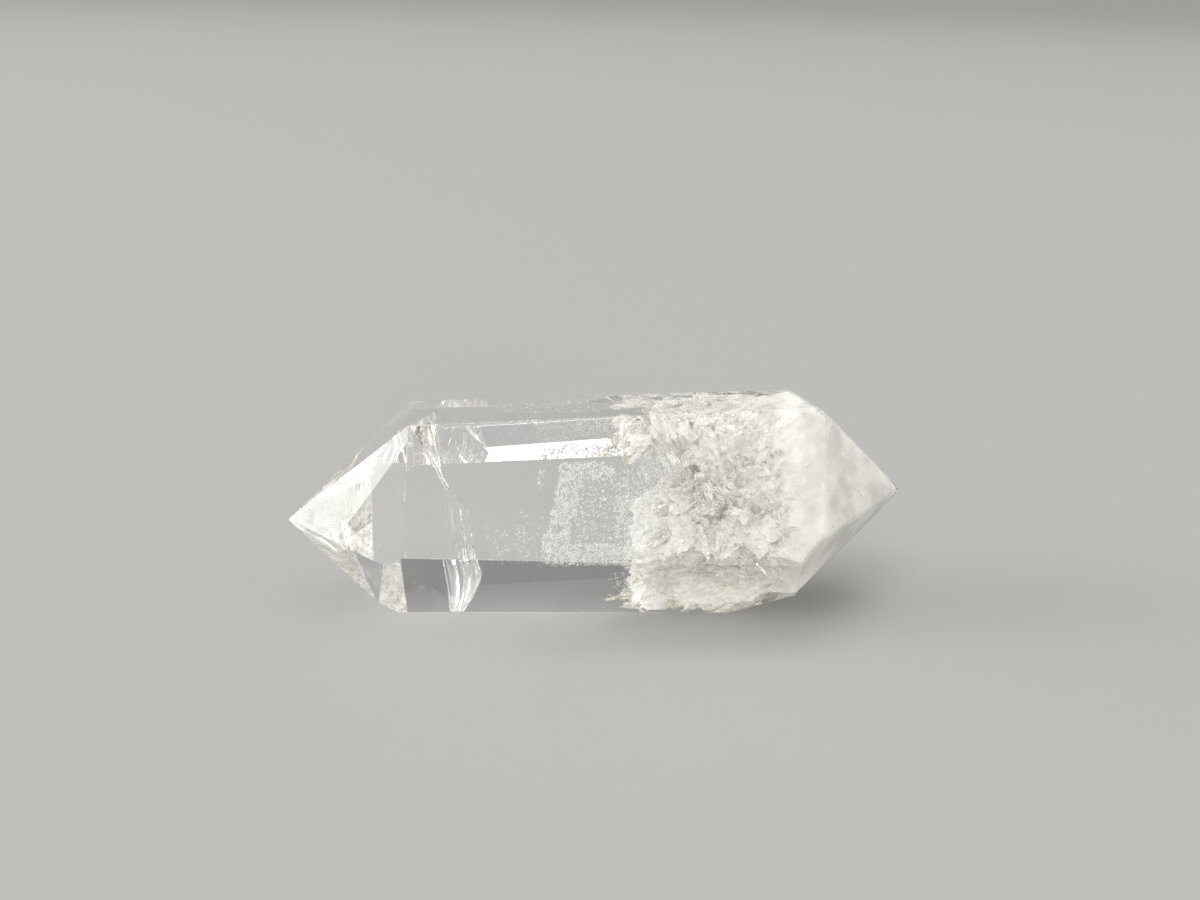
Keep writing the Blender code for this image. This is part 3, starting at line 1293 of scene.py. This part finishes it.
@dataclass(frozen=True)
class Splinters:
    """The single bright splinters, creases and lines that stand out in the photograph."""

    seed: int = 77
    margin: float = 0.03 * MM
    finish: WhiteSpeck = WhiteSpeck("splinter", metallic=0.0, roughness=0.2)
    # Middle, reach, slant, fan, count, length, depth and width
    plumes: tuple[Plume, ...] = (
        Plume((665.0, 472.0), (27.0, 20.0), 62.0, 32.0, 260, (0.15, 0.60), (0.6, 7.0)),
        Plume((648.0, 462.0), (16.0, 18.0), -52.0, 14.0, 90, (0.30, 1.00), (0.4, 3.0), 0.04),
        Plume((640.0, 447.0), (10.0, 10.0), 48.0, 12.0, 40, (0.30, 0.80), (0.4, 1.5), 0.05),
        Plume((708.0, 503.0), (16.0, 16.0), 40.0, 28.0, 90, (0.20, 0.80), (0.3, 1.6), 0.04),
        Plume((712.0, 530.0), (16.0, 9.0), -18.0, 16.0, 50, (0.30, 0.90), (0.3, 1.4), 0.035),
        Plume((650.0, 514.0), (9.0, 9.0), 60.0, 20.0, 40, (0.15, 0.45), (0.3, 1.2), 0.03),
        Plume((750.0, 423.0), (13.0, 9.0), 30.0, 30.0, 60, (0.15, 0.50), (0.3, 1.2), 0.04),
        Plume((783.0, 427.0), (14.0, 11.0), 50.0, 30.0, 70, (0.15, 0.50), (0.3, 1.2), 0.04),
        Plume((748.0, 588.0), (19.0, 8.0), 15.0, 14.0, 60, (0.20, 0.60), (0.3, 1.2), 0.035),
        Plume((646.0, 583.0), (34.0, 15.0), 24.0, 26.0, 230, (0.15, 0.60), (0.2, 1.6), 0.03),
        Plume((620.0, 580.0), (12.0, 9.0), 12.0, 16.0, 50, (0.20, 0.60), (0.2, 1.2), 0.03),
        Plume((740.0, 470.0), (36.0, 16.0), -58.0, 22.0, 120, (0.15, 0.50), (0.2, 1.4)),
        Plume((765.0, 540.0), (24.0, 22.0), 20.0, 50.0, 120, (0.10, 0.35), (0.2, 1.2)),
    )
    # Path, depth, count, length, width and spread
    seams: tuple[Seam, ...] = (
        Seam(((700.0, 415.0), (693.0, 430.0), (692.0, 450.0), (685.0, 465.0)), 0.5, 110, 0.25, 0.04, 0.10),
        Seam(((605.0, 393.0), (612.0, 400.0), (640.0, 405.0), (662.0, 411.0)), 0.35, 420, 0.16, 0.05, 0.07),
        Seam(((607.0, 594.0), (618.0, 598.0), (630.0, 604.0), (638.0, 610.0)), 0.30, 220, 0.12, 0.03, 0.03),
        Seam(((775.0, 531.0), (780.0, 533.0), (783.5, 537.0), (783.0, 543.0)), 0.30, 60, 0.12, 0.05, 0.04),
        Seam(
            ((762.0, 478.0), (777.0, 483.0), (793.0, 495.0), (828.0, 494.0), (855.0, 489.0)),
            0.20, 260, 0.12, 0.035,
        ),
        Seam(((773.0, 464.0), (785.0, 464.8), (798.0, 464.5)), 0.30, 40, 0.10, 0.02, 0.015),
        Seam(((378.5, 548.5), (381.0, 545.0), (384.0, 543.0)), 0.15, 26, 0.08, 0.02, 0.02),
        Seam(((485.0, 520.0), (487.0, 526.0), (490.0, 531.0)), 0.60, 26, 0.08, 0.02, 0.03),
    )

    def make(self, form: CrystalForm, view: CrystalView) -> bpy.types.Object:
        """Model the splinters."""
        splinters = Scatter("splinters", self.seed, ring=4)
        for group in self.plumes + self.seams:
            group.add(splinters, view)
        return splinters.make(form, self.margin, self.finish)


@dataclass(frozen=True)
class GlintGaps:
    """Small flat cracks around the cloud, thin gaps in the quartz that mirror the light."""

    seed: int = 63
    margin: float = 0.05 * MM
    # Middle, reach, slant, fan, count, length, depth, width and flatness
    places: tuple[Plume, ...] = (
        Plume((641.0, 449.0), (11.0, 12.0), 52.0, 12.0, 16, (0.35, 1.00), (0.4, 2.0), 0.16, 0.09),
        Plume((668.0, 468.0), (26.0, 18.0), 60.0, 30.0, 44, (0.30, 0.95), (0.5, 4.0), 0.13, 0.10),
        Plume((706.0, 500.0), (18.0, 16.0), 40.0, 24.0, 30, (0.30, 0.95), (0.3, 1.1), 0.16, 0.09),
        Plume((722.0, 530.0), (22.0, 12.0), -18.0, 20.0, 20, (0.30, 0.90), (0.3, 1.1), 0.13, 0.10),
        Plume((762.0, 425.0), (28.0, 12.0), 35.0, 28.0, 26, (0.25, 0.70), (0.3, 1.1), 0.13, 0.10),
        Plume((654.0, 586.0), (30.0, 14.0), 20.0, 24.0, 34, (0.30, 0.85), (0.3, 1.3), 0.13, 0.10),
        Plume((765.0, 545.0), (26.0, 26.0), -40.0, 40.0, 26, (0.25, 0.70), (0.3, 1.1), 0.12, 0.10),
        Plume((660.0, 412.0), (30.0, 8.0), 20.0, 30.0, 18, (0.30, 0.80), (0.4, 1.4), 0.12, 0.10),
        Plume((730.0, 590.0), (30.0, 12.0), 10.0, 20.0, 20, (0.25, 0.70), (0.3, 1.0), 0.12, 0.10),
    )

    def make(self, form: CrystalForm, view: CrystalView) -> bpy.types.Object:
        """Model the gaps, with faces that point into them."""
        gaps = Scatter("glint_gaps", self.seed)
        for place in self.places:
            place.add(gaps, view)
        piece = gaps.join(form, self.margin)
        turn_faces(piece, Facing.INWARDS)
        return piece


@dataclass(frozen=True)
class EdgeChips:
    """Tiny white chips along the crystal's edges."""

    spacing: float = 0.11 * MM
    inset: float = 0.085 * MM
    chip: float = 0.035 * MM  # usual half length
    chip_spread: float = 0.5
    chip_shapes: tuple[Triple, Triple] = ((1.0, 0.7, 0.4), (2.2, 1.0, 0.6))  # least and most
    # Size, share and seed of the noises that leave some stretches unworn, and where they do
    wear: tuple[Triple, ...] = ((1.6 * MM, 1.0, 8.0), (0.5 * MM, 0.5, 2.0))
    least_wear: float = 0.12
    turn: float = 0.4  # how far a chip lies from the edge's own direction
    margin: float = 0.004 * MM
    seed: int = 91
    finish: WhiteSpeck = WhiteSpeck("edge_chip", metallic=0.0, roughness=0.4)

    def make(self, form: CrystalForm) -> bpy.types.Object:
        """Model the chips."""
        chips = Scatter("edge_chips", self.seed, ring=5)
        random = chips.random
        for start, end, outward in form.edges:
            length = np.linalg.norm(end - start)
            where = random.uniform(0.01, 0.99, (int(length / self.spacing), 1))
            centres = start + (end - start) * where - outward * self.inset
            centres = centres[layered_noise(centres, self.wear, 0.0) > self.least_wear]
            size = self.chip * np.exp(random.normal(0.0, self.chip_spread, len(centres)))
            sizes = size[:, None] * random.uniform(*self.chip_shapes, (len(centres), 3))
            along = (end - start) / length + self.turn * random.normal(size=centres.shape)
            chips.add(centres, along, outward + self.turn * random.normal(size=centres.shape), sizes)
        return chips.make(form, self.margin, self.finish)


@dataclass(frozen=True)
class CrystalBody:
    """The polished crystal: the CAD solid with finely worn edges, and the gaps inside it."""

    quartz: ClearQuartz = ClearQuartz()
    edge: WornEdge = WornEdge()
    edge_width: float = 0.07 * MM
    sharp_angle: float = 8.0
    flat_angle: float = 0.5
    merge_distance: float = 0.03 * MM

    def wear_edges(self, body: bpy.types.Object) -> None:
        """Merge the faces' triangles and give each edge a narrow round strip in the second material."""
        select_only(body)
        bpy.ops.object.mode_set(mode="EDIT")
        bpy.ops.mesh.select_all(action="SELECT")
        bpy.ops.mesh.remove_doubles(threshold=self.merge_distance)
        bpy.ops.mesh.dissolve_limited(angle_limit=radians(self.flat_angle))
        bpy.ops.mesh.select_all(action="DESELECT")
        bpy.ops.mesh.select_mode(type="EDGE")
        bpy.ops.mesh.edges_select_sharp(sharpness=radians(self.sharp_angle))
        bpy.ops.mesh.bevel(offset=self.edge_width, offset_type="WIDTH", segments=2, material=1)
        bpy.ops.object.mode_set(mode="OBJECT")

    def make(self, node: bpy.types.Object, gaps: list[bpy.types.Object]) -> bpy.types.Object:
        """Model the crystal.

        Args:
            node: the CAD node that it takes its shape from.
            gaps: thin voids to join to it, with faces that point away from the quartz.

        Returns:
            The crystal, with worn strips along its edges.
        """
        quartz = self.quartz.make()
        body = node.copy()
        body.data = node.data.copy()
        body.name = "quartz_body"
        body.parent = None
        for key in list(body.keys()):
            del body[key]
        dress(body, quartz, self.edge.make())
        bpy.context.scene.collection.objects.link(body)
        self.wear_edges(body)
        for gap in gaps:
            dress(gap, quartz)
        select_only(*gaps, body)
        bpy.ops.object.join()
        return body


@dataclass(frozen=True)
class Lamp:
    """A soft square lamp that shines at the crystal."""

    name: str
    azimuth: float
    elevation: float
    size: float
    watts: float
    distance: float = 2.7
    aim: Triple = (0.0, 0.0, 10.0 * MM)

    def make(self) -> None:
        """Hang the lamp."""
        data = bpy.data.lights.new(self.name, "AREA")
        data.shape = "SQUARE"
        data.size = self.size
        data.energy = self.watts
        lamp = bpy.data.objects.new(self.name, data)
        away = bearing(self.azimuth, self.elevation)
        lamp.location = Vector(self.aim) + away * self.distance
        lamp.rotation_mode = "QUATERNION"
        lamp.rotation_quaternion = away.to_track_quat("Z", "Y")
        bpy.context.scene.collection.objects.link(lamp)


@dataclass(frozen=True)
class Studio:
    """A pale floor under soft light: bright overhead and in front, and darker low down at the back."""

    floor_size: float = 60.0
    floor_drop: float = 0.05 * MM
    floor_tone: Triple = (0.43, 0.425, 0.416)
    # Light at the sine of each height above the horizon
    front_sky: tuple[Pair, ...] = (
        (0.0, 0.52),
        (0.06, 0.75),
        (0.16, 1.20),
        (0.35, 1.00),
        (0.62, 0.60),
        (0.78, 0.52),
        (0.87, 1.00),
        (0.93, 1.45),
        (1.0, 1.50),
    )
    back_sky: tuple[Pair, ...] = (
        (0.0, 0.45),
        (0.07, 0.42),
        (0.20, 0.40),
        (0.33, 0.38),
        (0.348, 0.235),
        (0.50, 0.20),
        (0.72, 0.80),
        (0.87, 1.00),
        (0.93, 1.45),
        (1.0, 1.50),
    )
    sky_tint: Triple = (1.0, 0.99, 0.965)
    sky_strength: float = 0.93
    back_from: Pair = (0.35, 0.80)  # where the front sky ends and the back sky begins, as the sine to +Y
    lamps: tuple[Lamp, ...] = (
        Lamp("key_lamp", -38.0, 58.0, size=1.20, watts=10.8),
        Lamp("back_lamp", 160.0, 64.0, size=1.20, watts=11.7),
        Lamp("side_lamp", -93.5, 19.0, size=1.26, watts=29.0),
        Lamp("front_lamp", 20.0, 12.5, size=0.90, watts=10.5),
    )

    def floor(self) -> bpy.types.Object:
        """Lay the floor."""
        bpy.ops.mesh.primitive_plane_add(size=self.floor_size, location=(0, 0, -self.floor_drop))
        floor = bpy.context.object
        floor.name = "floor"
        surface = Surface("pale_floor")
        surface.set(Base_Color=self.floor_tone, Roughness=0.8, Specular_IOR_Level=0.2)
        floor.data.materials.append(surface.material)
        return floor

    def sky(self) -> None:
        """Surround the scene with soft light."""
        world = bpy.data.worlds.new("studio")
        bpy.context.scene.world = world
        world.use_nodes = True
        nodes = Nodes(world.node_tree)
        way = nodes.out(nodes.add("ShaderNodeTexCoord"), "Generated")
        split = nodes.add("ShaderNodeSeparateXYZ", Vector=way)
        halves = []
        for lights in (self.front_sky, self.back_sky):
            stops = [(height, [light * tint for tint in self.sky_tint]) for height, light in lights]
            ramp = nodes.add("ShaderNodeValToRGB", {"stops": stops}, Fac=nodes.out(split, "Z"))
            halves.append(nodes.out(ramp, "Color"))
        behind = nodes.out(split, "Y").ramp(*self.back_from)
        background = nodes.tree.nodes["Background"]
        nodes.feed(background.inputs["Color"], nodes.blend(behind, *halves))
        nodes.feed(background.inputs["Strength"], self.sky_strength)

    def make(self) -> None:
        """Lay the floor and light it."""
        self.floor()
        self.sky()
        for lamp in self.lamps:
            lamp.make()


def quality() -> None:
    """Let light make as many turns inside the crystal as it needs."""
    cycles = bpy.context.scene.cycles
    for name, turns in LIGHT_TURNS.items():
        setattr(cycles, name, turns)
    cycles.use_denoising = True
    bpy.context.scene.view_settings.view_transform = "Standard"


def main() -> None:
    """Build the scene."""
    logging.basicConfig(level=logging.INFO)
    bpy.ops.object.select_all(action="DESELECT")
    noise.seed_set(NOISE_SEED)
    camera = PhotoCamera()
    camera.make()
    Studio().make()
    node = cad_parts["quartz_crystal"]
    form = CrystalForm(node)
    view = CrystalView(camera, form)

    body = CrystalBody().make(node, [CrossFracture().make(form), GlintGaps().make(form, view)])
    skins = Cloud().make(form)
    white_sheets = FractureSheets(
        "cloud_fractures",
        StreakedFracture("fracture_white", metallic=0.0, roughness=0.35, cover=(0.10, 0.92)),
        count=96, seed=31, box=((2.0, 19.5), (-10.0, 10.0), (0.0, 23.0)),
        depths=(0.35, 2.6), lengths=(1.4, 3.8), widths=(0.5, 1.5),
    ).make(form)
    bright_sheets = FractureSheets(
        "bright_fractures",
        StreakedFracture("fracture_bright", metallic=1.0, roughness=0.10, cover=(0.30, 0.95)),
        count=40, seed=57, box=((0.5, 19.0), (-10.0, 10.0), (0.0, 23.0)),
        depths=(0.4, 3.0), lengths=(1.2, 3.4), widths=(0.4, 1.2),
    ).make(form)
    flakes = CloudFlakes().make(skins, form)
    splinters = Splinters().make(form, view)
    chips = EdgeChips().make(form)
    veil = BubbleVeil().make(form, view)

    for piece in (body, *skins, white_sheets, bright_sheets, *flakes, splinters, chips, veil):
        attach(piece, "root")
        LOG.info("%s: %d faces", piece.name, len(piece.data.polygons))
    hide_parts("quartz_crystal")

    quality()


if __name__ == "__main__":
    main()
